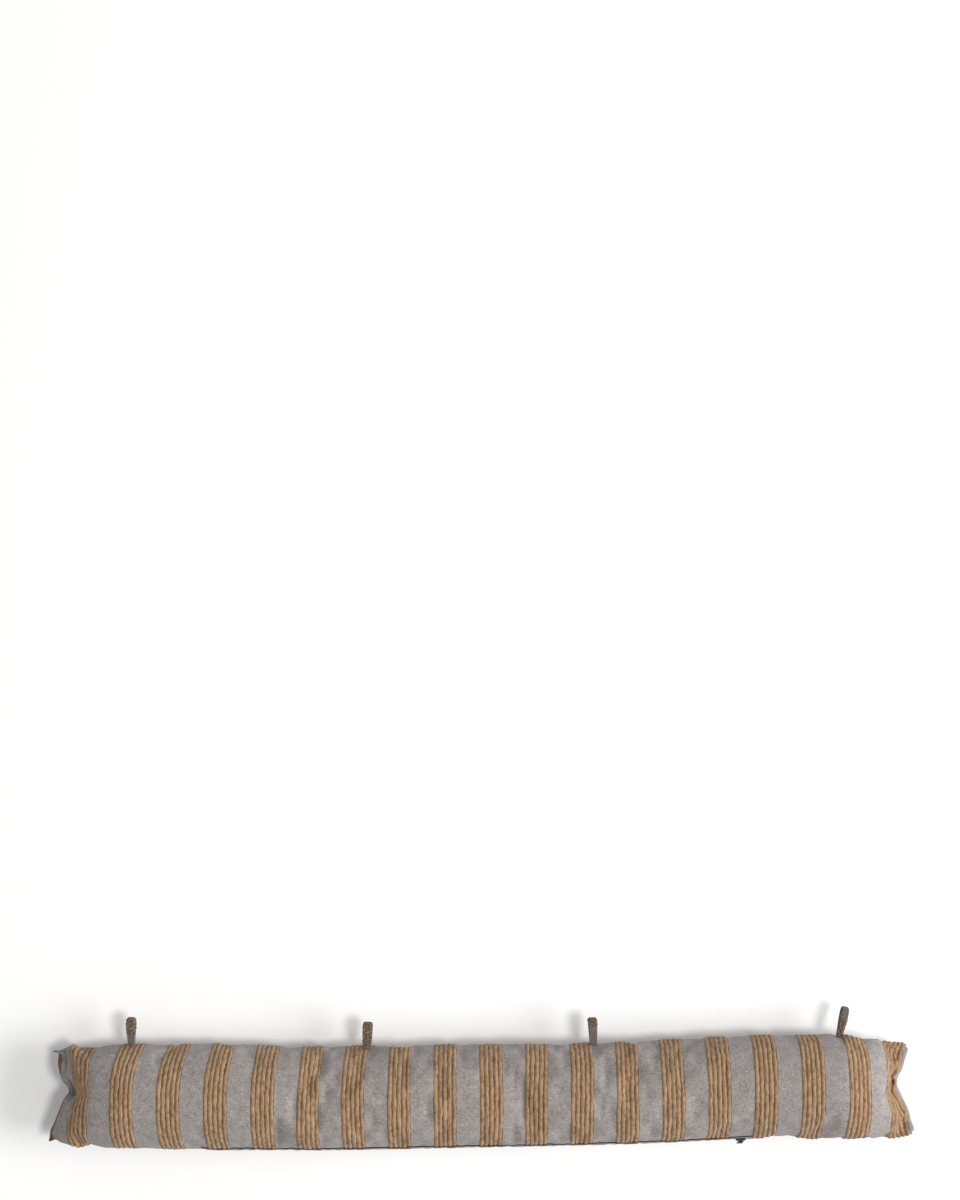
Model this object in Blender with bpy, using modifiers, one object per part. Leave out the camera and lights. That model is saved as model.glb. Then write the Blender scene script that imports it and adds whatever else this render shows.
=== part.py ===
"""Draught excluder: a long filled fabric tube that lies along the foot of a door.

The cover is one cloth, closed by a seam along each long side and by one across each
end, and filled. Four short cloth loops are caught in one long seam and a zip closes
the other. It lies on its back on z = 0: +X runs along its length, +Y points to the
side with the loops, and +Z points out of its upper face. The origin is the middle of
the flat strip that it rests on.
"""
from collections import namedtuple
from math import cos, exp, pi, radians, sin, sqrt

import bmesh
import bpy
from mathutils import Matrix, Vector

# ---- driving dimensions, in metres and degrees ---------------------------------
CLOTH_LENGTH = 0.903         # cover between its end seams, laid flat
SIDE_HEIGHT = 0.044          # height of the two long seams' sides, the widest line
BELLY = 0.051                # depth of the round underside before the floor flattens it
END_SEAM_HEIGHT = 0.040      # height of the seam across each end
END_SEAM_THICKNESS = 0.0026  # two layers of cloth
CROWN_RUN = 0.090            # cloth length in which the upper face falls to an end seam
BELLY_RUN = 0.070            # the same on the underside
EAR_POWER = 0.5              # how much flatter than round a section is at an end seam
PINCH_DEPTH = 0.42           # share of the thickness that the pinch at an end takes
PINCH_WIDTH = 0.20           # its width, as a share of half the cover's width
PINCH_RUN = 0.022            # how far it reaches in from the seam
SHIFT_POWER = 0.8            # how quickly the shift of an end's cloth dies out inwards
LEAST_ADVANCE = 0.2          # share of a cloth step that always goes along the tube
GAP = 0.0006                 # between the cover and what is sewn to it

END_STEPS = 16               # rings in the last CROWN_RUN of cloth at each end
END_CROWDING = 1.3           # above 1, the rings crowd towards the end seam
MIDDLE_STEPS = 34            # rings between them
AROUND = 32                  # points in a ring

LOOP_THICKNESS = 0.003       # a doubled strip of cloth
LOOP_FLANK_STEPS = 4         # points from a loop's stem to its round end
LOOP_CROWN_SIDES = 7         # flats round a loop's end; an odd number puts one at its tip
LOOP_EDGE_ROUND = 0.0006
LOOP_EDGE_ANGLE = 60.0       # edges sharper than this are rounded
WELD_DISTANCE = 0.00002

ZIP_ANGLE = 162.0            # place of the zip round the section, from the loops' side
ZIP_START = 0.1645           # cloth distance from the left end seam to the zip's first tooth
ZIP_END = 0.7270
ZIP_STATIONS = 56
ZIP_LOOK_AHEAD = 0.002       # cloth distance and turn over which the zip's direction is taken
ZIP_LOOK_ROUND = 2.0
ZIP_WIDTH = 0.0042
ZIP_THICKNESS = 0.0016
SLIDER_AT = 0.7200           # cloth distance to the middle of the closed slider
SLIDER_SIZE = (0.0100, 0.0062, 0.0024)
BAIL_SIZE = (0.0014, 0.0052, 0.0032)
BAIL_WIRE = 0.0010
PULL_SIZE = (0.0058, 0.0180, 0.0010)
PULL_BAR = 0.0014            # edge of the tab that passes under the bail
PULL_HOLE = (0.0032, 0.0028)
PULL_ABOVE_SLIDER = 0.0004
METAL_OVERLAP = 0.0002       # how far the bail is let into the slider's body
METAL_EDGE_ANGLE = 50.0
SLIDER_EDGE_ROUND = 0.0003
PULL_EDGE_ROUND = 0.0002

# ---- the outline: how far the cover reaches each way at a distance along the cloth
Row = namedtuple("Row", "cloth top bottom crown")
OUTLINE = (
    Row(0.000, 0.0410, -0.0400, 0.0900),
    Row(0.008, 0.0436, -0.0446, 0.0900),
    Row(0.020, 0.0464, -0.0470, 0.0905),
    Row(0.040, 0.0484, -0.0512, 0.0910),
    Row(0.065, 0.0522, -0.0538, 0.0920),
    Row(0.088, 0.0538, -0.0545, 0.0930),
    Row(0.130, 0.0536, -0.0557, 0.0940),
    Row(0.180, 0.0537, -0.0576, 0.0945),
    Row(0.230, 0.0508, -0.0570, 0.0930),
    Row(0.270, 0.0490, -0.0576, 0.0925),
    Row(0.330, 0.0500, -0.0570, 0.0935),
    Row(0.370, 0.0514, -0.0560, 0.0940),
    Row(0.430, 0.0518, -0.0548, 0.0935),
    Row(0.490, 0.0526, -0.0537, 0.0935),
    Row(0.550, 0.0534, -0.0523, 0.0940),
    Row(0.610, 0.0550, -0.0505, 0.0940),
    Row(0.670, 0.0586, -0.0480, 0.0945),
    Row(0.730, 0.0620, -0.0448, 0.0945),
    Row(0.790, 0.0630, -0.0450, 0.0950),
    Row(0.825, 0.0642, -0.0472, 0.0955),
    Row(0.850, 0.0608, -0.0476, 0.0950),
    Row(0.875, 0.0574, -0.0468, 0.0940),
    Row(0.890, 0.0558, -0.0456, 0.0930),
    Row(0.903, 0.0548, -0.0405, 0.0920),
)

# ---- the two end seams: where their corners and the notch between them lie
EndSeam = namedtuple("EndSeam", "side top_corner notch bottom_corner notch_place")
LEFT_END = EndSeam(-1, 0.4440, 0.4268, 0.4500, 0.14)
RIGHT_END = EndSeam(1, 0.4432, 0.4315, 0.4500, 0.15)
NOTCH_SHARPNESS = 1.15
SIDE_LINE = 1e-6             # the sine of an angle round the section that counts as zero

# ---- the hanging loops, one row each: place, reach from the seam, and lean
Loop = namedtuple("Loop", "name along reach width opening lean")
LOOPS = (
    Loop("loop_1", -0.3650, 0.0270, 0.0088, 0.0110, -1.0),
    Loop("loop_2", -0.1194, 0.0260, 0.0098, 0.0115, 2.0),
    Loop("loop_3", 0.1168, 0.0270, 0.0094, 0.0120, -3.0),
    Loop("loop_4", 0.3732, 0.0295, 0.0074, 0.0120, 13.0),
)
LOOP_STEM = 0.0055           # sewn length in which a loop's two layers lie together

GREY_WOOL = (0.33, 0.30, 0.28)
LOOP_CLOTH = (0.20, 0.16, 0.13)
ZIP_BLACK = (0.012, 0.012, 0.014)
CLOTH_ROUGHNESS = 0.95
ZIP_ROUGHNESS = 0.45


def clear_scene():
    for obj in list(bpy.data.objects):
        bpy.data.objects.remove(obj, do_unlink=True)


def collection(name):
    made = bpy.data.collections.new(name)
    bpy.context.scene.collection.children.link(made)
    return made


def material(name, colour, roughness):
    made = bpy.data.materials.new(name)
    made.use_nodes = True
    shader = made.node_tree.nodes["Principled BSDF"]
    shader.inputs["Base Color"].default_value = (*colour, 1.0)
    shader.inputs["Roughness"].default_value = roughness
    return made


def add_mesh(name, bm, mat, parts):
    bmesh.ops.recalc_face_normals(bm, faces=bm.faces)
    mesh = bpy.data.meshes.new(name)
    bm.to_mesh(mesh)
    bm.free()
    mesh.materials.append(mat)
    obj = bpy.data.objects.new(name, mesh)
    parts.objects.link(obj)
    return obj


# ---- the cover's form -------------------------------------------------------------


def slope(rows, column, i):
    """The outline's slope at row i, from its two neighbours."""
    before = rows[max(i - 1, 0)]
    after = rows[min(i + 1, len(rows) - 1)]
    return (getattr(after, column) - getattr(before, column)) / (after.cloth - before.cloth)


def outline(column, cloth):
    """A column of OUTLINE at any distance along the cloth, as a smooth curve."""
    i = 0
    while i < len(OUTLINE) - 2 and cloth > OUTLINE[i + 1].cloth:
        i += 1
    low, high = OUTLINE[i], OUTLINE[i + 1]
    run = high.cloth - low.cloth
    t = (cloth - low.cloth) / run
    start, end = getattr(low, column), getattr(high, column)
    start_pull = slope(OUTLINE, column, i) * run
    end_pull = slope(OUTLINE, column, i + 1) * run
    return (
        start * (2 * t**3 - 3 * t**2 + 1)
        + start_pull * (t**3 - 2 * t**2 + t)
        + end * (3 * t**2 - 2 * t**3)
        + end_pull * (t**3 - t**2)
    )


def fullness(from_end, run):
    """0 at an end seam, rising as a quarter wave to 1 where the tube is full."""
    return sin(pi / 2 * min(from_end / run, 1.0))


def pinch(from_end, across, end):
    """What is left of the thickness where the middle of an end is pinched in."""
    off = (across - end.notch_place) / PINCH_WIDTH
    return 1 - PINCH_DEPTH * exp(-off * off - from_end / PINCH_RUN)


def on_side_line(angle):
    """True on the two long lines where the upper and the lower cloth meet."""
    return abs(sin(angle)) < SIDE_LINE


def section_point(cloth, angle):
    """Y and Z of the cover at a distance along the cloth and an angle round it."""
    end = LEFT_END if cloth < CLOTH_LENGTH / 2 else RIGHT_END
    from_end = min(cloth, CLOTH_LENGTH - cloth)
    across = cos(angle)
    top, bottom = outline("top", cloth), outline("bottom", cloth)
    y = (top + bottom) / 2 + (top - bottom) / 2 * across
    flatter = 1 + EAR_POWER * (1 - fullness(from_end, CROWN_RUN))
    lift = abs(sin(angle)) ** flatter
    squeeze = pinch(from_end, across, end)
    layer = 0.0 if on_side_line(angle) else END_SEAM_THICKNESS / 2
    if sin(angle) >= 0:
        full = SIDE_HEIGHT + (outline("crown", cloth) - SIDE_HEIGHT) * lift
        share = fullness(from_end, CROWN_RUN)
    else:
        full = max(0.0, SIDE_HEIGHT - BELLY * lift)
        share = fullness(from_end, BELLY_RUN)
        layer = -layer
    middle = END_SEAM_HEIGHT + (SIDE_HEIGHT - END_SEAM_HEIGHT) * share
    z = middle + (full - SIDE_HEIGHT) * share * (squeeze if share < 1 else 1)
    if share >= 1:
        return y, z
    return y, z + layer * (1 - share)


def seam_x(end, across):
    """How far out an end seam lies at a place across the cover, from -1 to 1."""
    if across >= end.notch_place:
        corner, reach = end.top_corner, 1 - end.notch_place
    else:
        corner, reach = end.bottom_corner, 1 + end.notch_place
    out = (abs(across - end.notch_place) / reach) ** NOTCH_SHARPNESS
    return end.notch + (corner - end.notch) * out


def stations():
    """Distances along the cloth at which the cover gets a ring."""
    end = [CROWN_RUN * (i / END_STEPS) ** END_CROWDING for i in range(END_STEPS)]
    run = CLOTH_LENGTH - 2 * CROWN_RUN
    middle = [CROWN_RUN + run * i / MIDDLE_STEPS for i in range(MIDDLE_STEPS + 1)]
    return end + middle + [CLOTH_LENGTH - s for s in reversed(end)]


def line_along(angle, distances):
    """One line of the cover from end to end: the cloth keeps its length as it bends."""
    flat = [section_point(s, angle) for s in distances]
    x = [0.0]
    for i in range(1, len(distances)):
        step = distances[i] - distances[i - 1]
        rise = flat[i][1] - flat[i - 1][1]
        advance = max(step * step - rise * rise, (LEAST_ADVANCE * step) ** 2)
        x.append(x[-1] + sqrt(advance))
    middle = len(x) // 2
    centre = x[middle] - (distances[middle] - CLOTH_LENGTH / 2)
    x = [value - centre for value in x]
    across = cos(angle)
    left = -seam_x(LEFT_END, across) - x[0]
    right = seam_x(RIGHT_END, across) - x[-1]
    points = []
    for i, s in enumerate(distances):
        near_left = (1 - fullness(s, CROWN_RUN)) ** SHIFT_POWER
        near_right = (1 - fullness(CLOTH_LENGTH - s, CROWN_RUN)) ** SHIFT_POWER
        points.append(Vector((x[i] + left * near_left + right * near_right, *flat[i])))
    return points


def loft(bm, rings):
    """Quads between neighbouring rings of points."""
    for low, high in zip(rings, rings[1:]):
        for j in range(len(low)):
            k = (j + 1) % len(low)
            bm.faces.new((low[j], low[k], high[k], high[j]))


def close_seam(bm, ring):
    """Faces between the upper and the lower cloth of an end seam."""
    half = len(ring) // 2
    bm.faces.new((ring[0], ring[1], ring[-1]))
    for j in range(1, half - 1):
        bm.faces.new((ring[j], ring[j + 1], ring[-j - 1], ring[-j]))
    bm.faces.new((ring[half - 1], ring[half], ring[half + 1]))


def make_cover(mat, parts):
    distances = stations()
    lines = [line_along(2 * pi * j / AROUND, distances) for j in range(AROUND)]
    bm = bmesh.new()
    rings = [[bm.verts.new(line[i]) for line in lines] for i in range(len(distances))]
    loft(bm, rings)
    close_seam(bm, rings[0])
    close_seam(bm, rings[-1])
    cover = add_mesh("cover", bm, mat, parts)
    cover.data.shade_smooth()
    return cover


# ---- the loops ----------------------------------------------------------------------


def teardrop(reach, half_height, stem_half):
    """A teardrop outline, from its stem round the far end and back to the stem."""
    centre = reach - half_height
    points = []
    for i in range(LOOP_FLANK_STEPS):
        t = i / LOOP_FLANK_STEPS
        ease = t * t * (3 - 2 * t)
        out = LOOP_STEM + (centre - LOOP_STEM) * t
        points.append((out, stem_half + (half_height - stem_half) * ease))
    for i in range(LOOP_CROWN_SIDES + 1):
        turn = pi * i / LOOP_CROWN_SIDES
        points.append((centre + half_height * sin(turn), half_height * cos(turn)))
    for x, y in reversed(points[:LOOP_FLANK_STEPS]):
        points.append((x, -y))
    return points


def spline(curve, points):
    line = curve.splines.new("POLY")
    line.points.add(len(points) - 1)
    for point, (x, y) in zip(line.points, points):
        point.co = (x, y, 0, 1)
    line.use_cyclic_u = True


def make_loop(row, mat, parts):
    """A strip of cloth bent back on itself and caught by both ends in the long seam."""
    curve = bpy.data.curves.new(row.name, "CURVE")
    curve.dimensions = "2D"
    curve.fill_mode = "BOTH"
    curve.extrude = row.width / 2
    outer_half = row.opening / 2 + LOOP_THICKNESS
    outer = teardrop(row.reach, outer_half, LOOP_THICKNESS)
    spline(curve, [(0, LOOP_THICKNESS)] + outer + [(0, -LOOP_THICKNESS)])
    inner = teardrop(row.reach - LOOP_THICKNESS, row.opening / 2, 0.0)
    spline(curve, inner[:-1])
    curve.materials.append(mat)
    loop = bpy.data.objects.new(row.name, curve)
    parts.objects.link(loop)
    cloth = row.along + CLOTH_LENGTH / 2
    base = Vector((row.along, outline("top", cloth) + GAP, SIDE_HEIGHT))
    lean = Matrix.Rotation(-radians(row.lean), 4, "Z")
    upright = Matrix(((0, 0, 1, 0), (1, 0, 0, 0), (0, 1, 0, 0), (0, 0, 0, 1)))
    loop.matrix_world = Matrix.Translation(base) @ lean @ upright
    weld = loop.modifiers.new("weld", "WELD")
    weld.merge_threshold = WELD_DISTANCE
    edge = loop.modifiers.new("soft_edge", "BEVEL")
    edge.width = LOOP_EDGE_ROUND
    edge.segments = 1
    edge.limit_method = "ANGLE"
    edge.angle_limit = radians(LOOP_EDGE_ANGLE)
    return loop


# ---- the zip ------------------------------------------------------------------------


def zip_frame(cloth):
    """Place, direction along, direction round and outward normal on the zip's line."""
    angle = radians(ZIP_ANGLE)
    y, z = section_point(cloth, angle)
    place = Vector((cloth - CLOTH_LENGTH / 2, y, z))
    ahead = section_point(cloth + ZIP_LOOK_AHEAD, angle)
    along = Vector((ZIP_LOOK_AHEAD, ahead[0] - y, ahead[1] - z)).normalized()
    beside = section_point(cloth, angle + radians(ZIP_LOOK_ROUND))
    down = Vector((0, beside[0] - y, beside[1] - z)).normalized()
    out = down.cross(along).normalized()
    return place, along, down, out


def make_zip_chain(mat, parts):
    """The closed teeth: an open ribbon on the cover's side, given its thickness."""
    bm = bmesh.new()
    pairs = []
    for i in range(ZIP_STATIONS + 1):
        cloth = ZIP_START + (ZIP_END - ZIP_START) * i / ZIP_STATIONS
        place, _, down, out = zip_frame(cloth)
        middle = place + out * (GAP + ZIP_THICKNESS / 2)
        pairs.append([bm.verts.new(middle + down * ZIP_WIDTH / 2 * side) for side in (-1, 1)])
    for low, high in zip(pairs, pairs[1:]):
        bm.faces.new((low[0], low[1], high[1], high[0]))
    chain = add_mesh("zip_chain", bm, mat, parts)
    solid = chain.modifiers.new("thickness", "SOLIDIFY")
    solid.thickness = ZIP_THICKNESS
    solid.offset = 0.0
    return chain


def box(name, size, centre, mat, parts):
    bm = bmesh.new()
    bmesh.ops.create_cube(bm, size=1.0)
    bmesh.ops.scale(bm, verts=bm.verts, vec=size)
    bmesh.ops.translate(bm, verts=bm.verts, vec=centre)
    return add_mesh(name, bm, mat, parts)


def boolean(obj, other, operation):
    step = obj.modifiers.new(other.name, "BOOLEAN")
    step.operation = operation
    step.object = other
    step.solver = "EXACT"


def soften(obj, width):
    edge = obj.modifiers.new("soft_edge", "BEVEL")
    edge.width = width
    edge.segments = 2
    edge.limit_method = "ANGLE"
    edge.angle_limit = radians(METAL_EDGE_ANGLE)


def slider_matrix():
    """The slider's own frame: X along the zip, Y down the cover's side, Z outwards."""
    place, along, down, out = zip_frame(SLIDER_AT)
    start = place + out * (2 * GAP + ZIP_THICKNESS)
    turn = Matrix((along, down, out)).transposed().to_4x4()
    return Matrix.Translation(start) @ turn


def make_slider(mat, parts, cutters):
    length, _, depth = SLIDER_SIZE
    slider = box("zip_slider", SLIDER_SIZE, (0, 0, depth / 2), mat, parts)
    bail_middle = (0, 0, depth + BAIL_SIZE[2] / 2 - METAL_OVERLAP)
    bail = box("bail", BAIL_SIZE, bail_middle, mat, cutters)
    eye_size = (length, BAIL_SIZE[1] - 2 * BAIL_WIRE, BAIL_SIZE[2] - BAIL_WIRE)
    eye = box("bail_eye", eye_size, (0, 0, depth + eye_size[2] / 2), mat, cutters)
    boolean(slider, bail, "UNION")
    boolean(slider, eye, "DIFFERENCE")
    soften(slider, SLIDER_EDGE_ROUND)
    for obj in (slider, bail, eye):
        obj.matrix_world = slider_matrix()
    return slider


def make_pull(mat, parts, cutters):
    """The tab that hangs from the slider's bail, down the cover's side."""
    _, length, thickness = PULL_SIZE
    hole_x, hole_y = PULL_HOLE
    # the bail's lower post runs through the hole, and the bar above it under the bail
    top = METAL_OVERLAP - PULL_BAR / 2
    height = SLIDER_SIZE[2] + PULL_ABOVE_SLIDER + thickness / 2
    pull = box("zip_pull", PULL_SIZE, (0, top + length / 2, height), mat, parts)
    hole_middle = (0, top + PULL_BAR + hole_y / 2, height)
    hole = box("pull_hole", (hole_x, hole_y, 4 * thickness), hole_middle, mat, cutters)
    boolean(pull, hole, "DIFFERENCE")
    soften(pull, PULL_EDGE_ROUND)
    for obj in (pull, hole):
        obj.matrix_world = slider_matrix()
    return pull


def hide_cutters(cutters):
    for obj in cutters.objects:
        obj.hide_render = True
        obj.display_type = "WIRE"


def main():
    clear_scene()
    parts = collection("draught_excluder")
    cutters = collection("cutters")
    cloth = material("grey_wool", GREY_WOOL, CLOTH_ROUGHNESS)
    loop_cloth = material("loop_cloth", LOOP_CLOTH, CLOTH_ROUGHNESS)
    zip_black = material("zip_black", ZIP_BLACK, ZIP_ROUGHNESS)
    make_cover(cloth, parts)
    for row in LOOPS:
        make_loop(row, loop_cloth, parts)
    make_zip_chain(zip_black, parts)
    make_slider(zip_black, parts, cutters)
    make_pull(zip_black, parts, cutters)
    hide_cutters(cutters)


main()
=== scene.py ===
# %% [markdown]
# # A stuffed draught excluder
# A draught excluder is a long, soft tube that lies against the foot of a door and keeps the cold out.
# This one is sewn from a single striped cloth: bands of grey wool between stripes of thick jute cords.
# The cloth is joined along the tube, where four short hanging loops are caught in the seam, it is sewn
# straight across at both ends, and a zip on the other side lets the filling be put in.
# The engineering model gives its size and place. Everything that is seen is made here, around that model.

# %% Load the engineering model
import math

import bmesh
import bpy
import numpy as np
from mathutils import Matrix, Vector
from mathutils.bvhtree import BVHTree


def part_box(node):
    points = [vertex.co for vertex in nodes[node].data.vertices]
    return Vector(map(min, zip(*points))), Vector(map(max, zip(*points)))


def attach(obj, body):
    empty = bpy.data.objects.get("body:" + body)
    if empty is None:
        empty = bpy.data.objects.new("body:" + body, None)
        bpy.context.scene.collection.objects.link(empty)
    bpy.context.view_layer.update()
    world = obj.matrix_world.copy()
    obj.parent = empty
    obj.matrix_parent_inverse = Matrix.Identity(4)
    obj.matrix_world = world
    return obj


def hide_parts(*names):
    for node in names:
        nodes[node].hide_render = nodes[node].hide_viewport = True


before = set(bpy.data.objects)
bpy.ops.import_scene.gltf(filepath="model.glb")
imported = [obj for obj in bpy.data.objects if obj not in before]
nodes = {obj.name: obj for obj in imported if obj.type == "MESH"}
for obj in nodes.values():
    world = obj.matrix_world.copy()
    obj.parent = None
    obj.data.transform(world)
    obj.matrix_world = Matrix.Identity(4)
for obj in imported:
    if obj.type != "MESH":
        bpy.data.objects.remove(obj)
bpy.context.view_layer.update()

# %% [markdown]
# ## Working habits
# Blender's operators act on whatever is selected, so every step begins by selecting one piece and
# nothing else. Modifiers are applied as soon as they have done their work, which leaves plain meshes.
# Points, normals and texture maps are read and written all at once, as rows of numbers.

# %% Select one piece, copy it, apply its modifiers


def alone(piece):
    """Selects this piece and nothing else."""
    if bpy.context.mode != "OBJECT":
        bpy.ops.object.mode_set(mode="OBJECT")
    bpy.ops.object.select_all(action="DESELECT")
    piece.select_set(True)
    bpy.context.view_layer.objects.active = piece


def apply_all(piece):
    """Applies every modifier on a piece, in order."""
    alone(piece)
    for modifier in list(piece.modifiers):
        bpy.ops.object.modifier_apply(modifier=modifier.name)


def forget_tags(piece):
    """A copy of a piece also copies what was said about that piece, which is taken off again."""
    piece.parent = None
    for tag in list(piece.keys()):
        del piece[tag]


def copy_of(piece, name):
    """A copy of a piece with its own mesh and nothing said about it yet."""
    alone(piece)
    bpy.ops.object.duplicate()
    copy = bpy.context.object
    copy.name = name
    forget_tags(copy)
    return copy


print("selecting and copying ready")

# %% Read and write points and texture maps


def read_rows(items, field, width):
    """One field of all the points or corners of a mesh, as rows of numbers."""
    flat = np.empty(len(items) * width)
    items.foreach_get(field, flat)
    return flat.reshape(-1, width)


def read_points(piece):
    return read_rows(piece.data.vertices, "co", 3)


def read_normals(piece):
    return read_rows(piece.data.vertices, "normal", 3)


def read_uv(piece, name):
    """A texture map has a row for each corner of each face."""
    return read_rows(piece.data.uv_layers[name].data, "uv", 2)


def write_points(piece, points):
    piece.data.vertices.foreach_set("co", points.ravel())
    piece.data.update()


def write_uv(piece, name, rows):
    piece.data.uv_layers[name].data.foreach_set("uv", rows.ravel())


print("reading and writing ready")

# %% Attach a piece to the object, and give it a finish


def belongs(piece, slot, *solids):
    """The piece moves with the object and stands for these solids, which are hidden. The slot is not used."""
    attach(piece, "root")
    if solids:
        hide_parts(*solids)
    print(piece.name, "faces:", len(piece.data.polygons))


def dress(piece, material):
    """Gives the piece one finish, all over."""
    piece.data.materials.clear()
    piece.data.materials.append(material)


# %% [markdown]
# ## The camera
# The object lies on its back. The camera looks straight down, but it hangs half a metre beyond the loops'
# side of the tube, so the tube sits low in the view and is seen a little from that side.

# %% Camera
CAMERA_PLACE = (-0.0016, 0.516, 2.70)
CAMERA_LENS = 76.4

bpy.ops.object.camera_add(location=CAMERA_PLACE, rotation=(0.0, 0.0, 0.0))
camera = bpy.context.object
camera.data.lens = CAMERA_LENS
bpy.context.scene.camera = camera
print("camera", CAMERA_PLACE, "lens", CAMERA_LENS)

# %% [markdown]
# ## Floor and light
# A plain white floor, two lamps and even light from all round. The key lamp is far away and high on the
# right, so that all four loops throw the same short shadow to the left. A large lamp low on the right adds
# the broad soft shade beyond the left end, and the light from all round keeps the shaded cloth readable.
# The floor glows very faintly, which keeps that shade pale, and the standard view transform keeps the
# floor white instead of greying it.

# %% Floor
FLOOR_SIZE = 14.0
FLOOR_WHITE = (0.86, 0.86, 0.86, 1.0)
FLOOR_ROUGHNESS = 0.85
FLOOR_SPECULAR = 0.2
FLOOR_GLOW = 0.10

bpy.ops.mesh.primitive_plane_add(size=FLOOR_SIZE)
floor = bpy.context.object
floor.name = "floor"
floor_paint = bpy.data.materials.new("floor_paint")
floor_paint.use_nodes = True
floor_shader = floor_paint.node_tree.nodes["Principled BSDF"]
floor_shader.inputs["Base Color"].default_value = FLOOR_WHITE
floor_shader.inputs["Roughness"].default_value = FLOOR_ROUGHNESS
floor_shader.inputs["Specular IOR Level"].default_value = FLOOR_SPECULAR
floor_shader.inputs["Emission Color"].default_value = FLOOR_WHITE
floor_shader.inputs["Emission Strength"].default_value = FLOOR_GLOW
floor.data.materials.append(floor_paint)
print("floor", FLOOR_SIZE, "m wide")

# %% Lights
SKY_STRENGTH = 0.36
SKY_COLOUR = (0.97, 0.98, 1.0, 1.0)
# For each lamp: its place, its width in metres, its power in watts and its colour. Both aim at the origin.
LAMPS = {
    "key_light": (Vector((3.9, 0.25, 10.0)), 2.0, 480.0, (1.0, 0.985, 0.965)),
    "side_light": (Vector((7.0, -0.08, 4.0)), 4.2, 580.0, (1.0, 0.99, 0.98)),
}

for lamp_name, (lamp_place, lamp_size, lamp_power, lamp_colour) in LAMPS.items():
    bpy.ops.object.light_add(type="AREA", location=lamp_place)
    lamp = bpy.context.object
    lamp.name = lamp_name
    lamp.data.size = lamp_size
    lamp.data.energy = lamp_power
    lamp.data.color = lamp_colour
    lamp.rotation_euler = (-lamp_place).to_track_quat("-Z", "Y").to_euler()

sky = bpy.data.worlds.new("soft_sky")
sky.use_nodes = True
sky.node_tree.nodes["Background"].inputs["Color"].default_value = SKY_COLOUR
sky.node_tree.nodes["Background"].inputs["Strength"].default_value = SKY_STRENGTH
bpy.context.scene.world = sky
bpy.context.scene.view_settings.view_transform = "Standard"
print("lamps", list(LAMPS))

# %% [markdown]
# ## The cloth before it is sewn
# The cover is one rectangle of cloth. Its width wraps round the tube and its length runs along it. The
# jute cords cross it at an even pitch, so that pitch is the natural spacing for a grid of points: every
# cord then lies exactly on a line of points, and the lines can later be drawn out of the finished cover
# to make the cords. The grid's texture map is kept in metres of cloth, which lets the stripes follow the
# cloth wherever it goes.

# %% Cloth sizes
CORD_PITCH = 0.0047
LENGTH_STEPS = 192
ROUND_STEPS = 64
CLOTH_LENGTH = CORD_PITCH * LENGTH_STEPS
GIRTH = 0.3135
print("cloth", round(CLOTH_LENGTH, 4), "x", GIRTH, "m")

# %% A flat grid of cloth
bpy.ops.object.select_all(action="DESELECT")
bpy.ops.mesh.primitive_grid_add(x_subdivisions=LENGTH_STEPS, y_subdivisions=ROUND_STEPS, size=1)
cover = bpy.context.object
cover.name = "striped_cover"
cover.data.uv_layers[0].name = "cloth"
write_uv(cover, "cloth", read_uv(cover, "cloth") * (CLOTH_LENGTH, GIRTH))

flat_points = read_points(cover)
along = (flat_points[:, 0] + 0.5) * CLOTH_LENGTH
around = flat_points[:, 1] + 0.5
place_on_cloth = cover.data.attributes.new("place_on_cloth", "FLOAT_VECTOR", "POINT")
place_on_cloth.data.foreach_set("vector", np.column_stack([along, around, around * 0]).ravel())
column = np.round(along / CORD_PITCH).astype(int)
row = np.round(around * ROUND_STEPS).astype(int)
print("grid points", len(flat_points))

# %% [markdown]
# ## The stuffed form
# The engineering solid already has the tube's outline, so straight lines are shot at it to find how far
# the cover reaches to either side and how high its crown stands at every step of the length. A ring of
# cloth at each step is a flattened circle through those points. Towards the ends the rings close down on
# the end seams, which are straight lines of stitching pinched inwards near the middle, so the cloth runs
# downhill there, and each line of cloth is walked point by point to keep its true length.

# %% Heights and runs of the form
SIDE_HEIGHT = 0.044
END_SEAM_HEIGHT = 0.040
BELLY_DEPTH = 0.051
CROWN_RUN = 0.090
BELLY_RUN = 0.070
SOLID_END = 0.4425
CROWN_END = 0.36
LOOK_FROM = 0.3
ABOVE_END_SEAM = 0.0005

solid = nodes["cover"]


def side_reach(x, side):
    """Where the solid's outline lies on one side, at a height that its thin ends still have."""
    start = Vector((x, side * LOOK_FROM, END_SEAM_HEIGHT + ABOVE_END_SEAM))
    return solid.ray_cast(start, Vector((0, -side, 0)))[1].y


def crown_height(x, y):
    """How high the solid stands at one place; its thin ends count as the last full part."""
    x = np.clip(x, -CROWN_END, CROWN_END)
    return solid.ray_cast(Vector((x, y, LOOK_FROM)), Vector((0, 0, -1)))[1].z


def from_end(distance, run):
    """0 at an end seam, rising smoothly to 1 where the tube has its full thickness."""
    return np.sin(np.pi / 2 * np.minimum(distance / run, 1))


step_distance = np.arange(LENGTH_STEPS + 1) * CORD_PITCH
step_x = np.clip(step_distance - CLOTH_LENGTH / 2, -SOLID_END, SOLID_END)
loop_side = np.array([side_reach(x, 1) for x in step_x])
zip_side = np.array([side_reach(x, -1) for x in step_x])
middle_y = (loop_side + zip_side) / 2
half_width = (loop_side - zip_side) / 2
crown = np.array([crown_height(x, y) for x, y in zip(step_x, middle_y)])
print("crown at every quarter, mm:", np.round(crown[:: LENGTH_STEPS // 4] * 1000, 1))

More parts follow.
